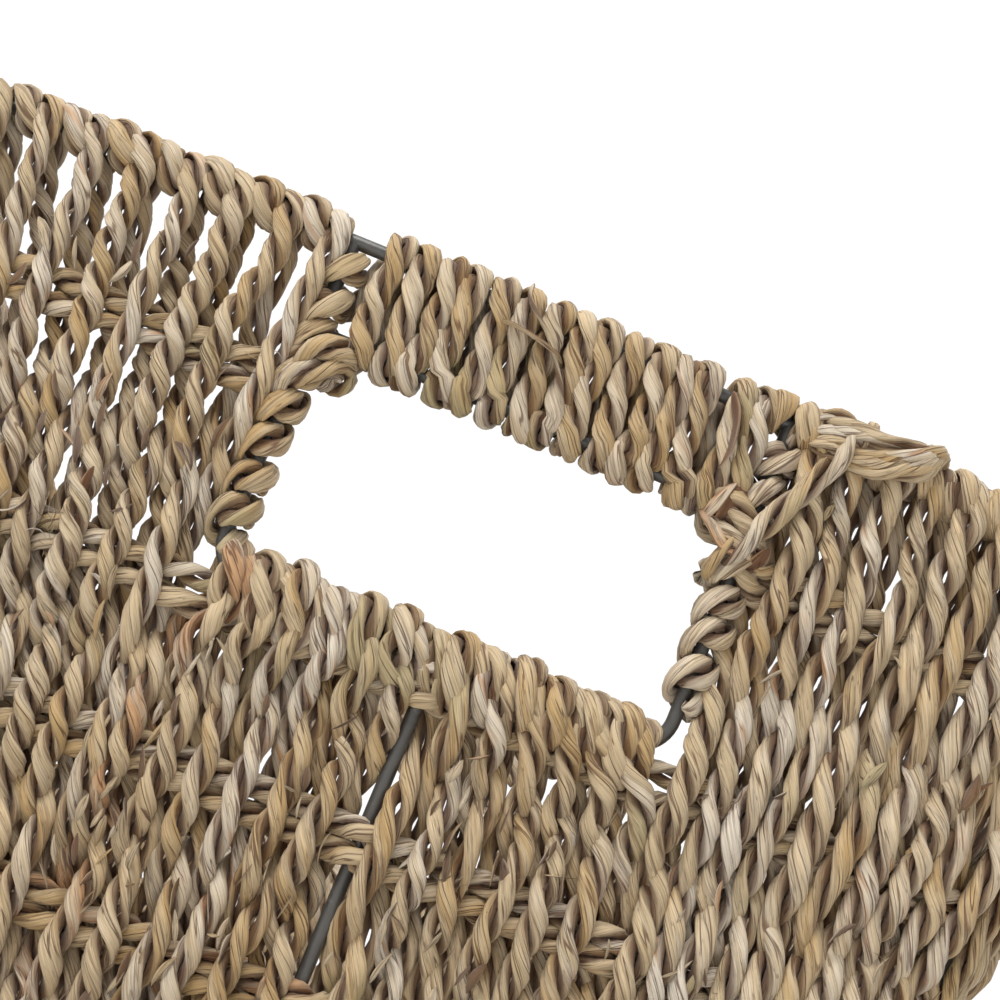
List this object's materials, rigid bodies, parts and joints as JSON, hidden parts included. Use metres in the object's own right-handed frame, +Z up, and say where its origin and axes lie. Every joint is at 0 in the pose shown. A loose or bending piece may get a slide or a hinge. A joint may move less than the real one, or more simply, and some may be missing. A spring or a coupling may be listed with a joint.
{
  "type": "seagrass storage basket",
  "caption": "Tapered rectangular storage basket of twisted seagrass cord woven on a steel wire frame, with a bound hand hole at each end.",
  "frame": {"origin": "middle of the underside, on the surface that the basket stands on", "axes": "+X out through the front handle end, +Y through the left long side, +Z up"},
  "size_m": [0.4702, 0.4002, 0.25],
  "materials": {
    "wire_frame": "dark grey smooth steel wire, satin",
    "seagrass_weave": "twisted two-ply seagrass cord, dry and matt with a faint sheen",
    "seagrass_binding": "tightly wound seagrass cord, matt with a faint sheen"
  },
  "bodies": {
    "root": {"rim_wire": "wire_frame", "base_wire": "wire_frame", "corner_post_front_right": "wire_frame", "corner_post_back_right": "wire_frame", "corner_post_back_left": "wire_frame", "corner_post_front_left": "wire_frame", "side_post_right": "wire_frame", "side_post_left": "wire_frame", "base_brace_long": "wire_frame", "base_brace_cross": "wire_frame", "handle_wire_front": "wire_frame", "handle_bar_front": "wire_frame", "end_post_front": "wire_frame", "handle_wire_back": "wire_frame", "handle_bar_back": "wire_frame", "end_post_back": "wire_frame", "wall_front_right": "seagrass_weave", "wall_right_front": "seagrass_weave", "wall_right_back": "seagrass_weave", "wall_back_right": "seagrass_weave", "wall_back_left": "seagrass_weave", "wall_left_back": "seagrass_weave", "wall_left_front": "seagrass_weave", "wall_front_left": "seagrass_weave", "wall_front_lower_left": "seagrass_weave", "wall_front_lower_right": "seagrass_weave", "wall_back_lower_left": "seagrass_weave", "wall_back_lower_right": "seagrass_weave", "base_weave_front_right": "seagrass_weave", "base_weave_back_right": "seagrass_weave", "base_weave_back_left": "seagrass_weave", "base_weave_front_left": "seagrass_weave", "rim_binding_front_right": "seagrass_binding", "rim_binding_right_front": "seagrass_binding", "rim_binding_right_back": "seagrass_binding", "rim_binding_back_right": "seagrass_binding", "rim_binding_back_left": "seagrass_binding", "rim_binding_left_back": "seagrass_binding", "rim_binding_left_front": "seagrass_binding", "rim_binding_front_left": "seagrass_binding", "base_binding_front_right": "seagrass_binding", "base_binding_right_front": "seagrass_binding", "base_binding_right_back": "seagrass_binding", "base_binding_back_right": "seagrass_binding", "base_binding_back_left": "seagrass_binding", "base_binding_left_back": "seagrass_binding", "base_binding_left_front": "seagrass_binding", "base_binding_front_left": "seagrass_binding", "grip_front": "seagrass_binding", "grip_back": "seagrass_binding", "lower_binding_front_left": "seagrass_binding", "lower_binding_front_right": "seagrass_binding", "side_binding_front_left": "seagrass_binding", "side_binding_front_right": "seagrass_binding", "lower_binding_back_left": "seagrass_binding", "lower_binding_back_right": "seagrass_binding", "side_binding_back_left": "seagrass_binding", "side_binding_back_right": "seagrass_binding"}
  },
  "joints": []
}
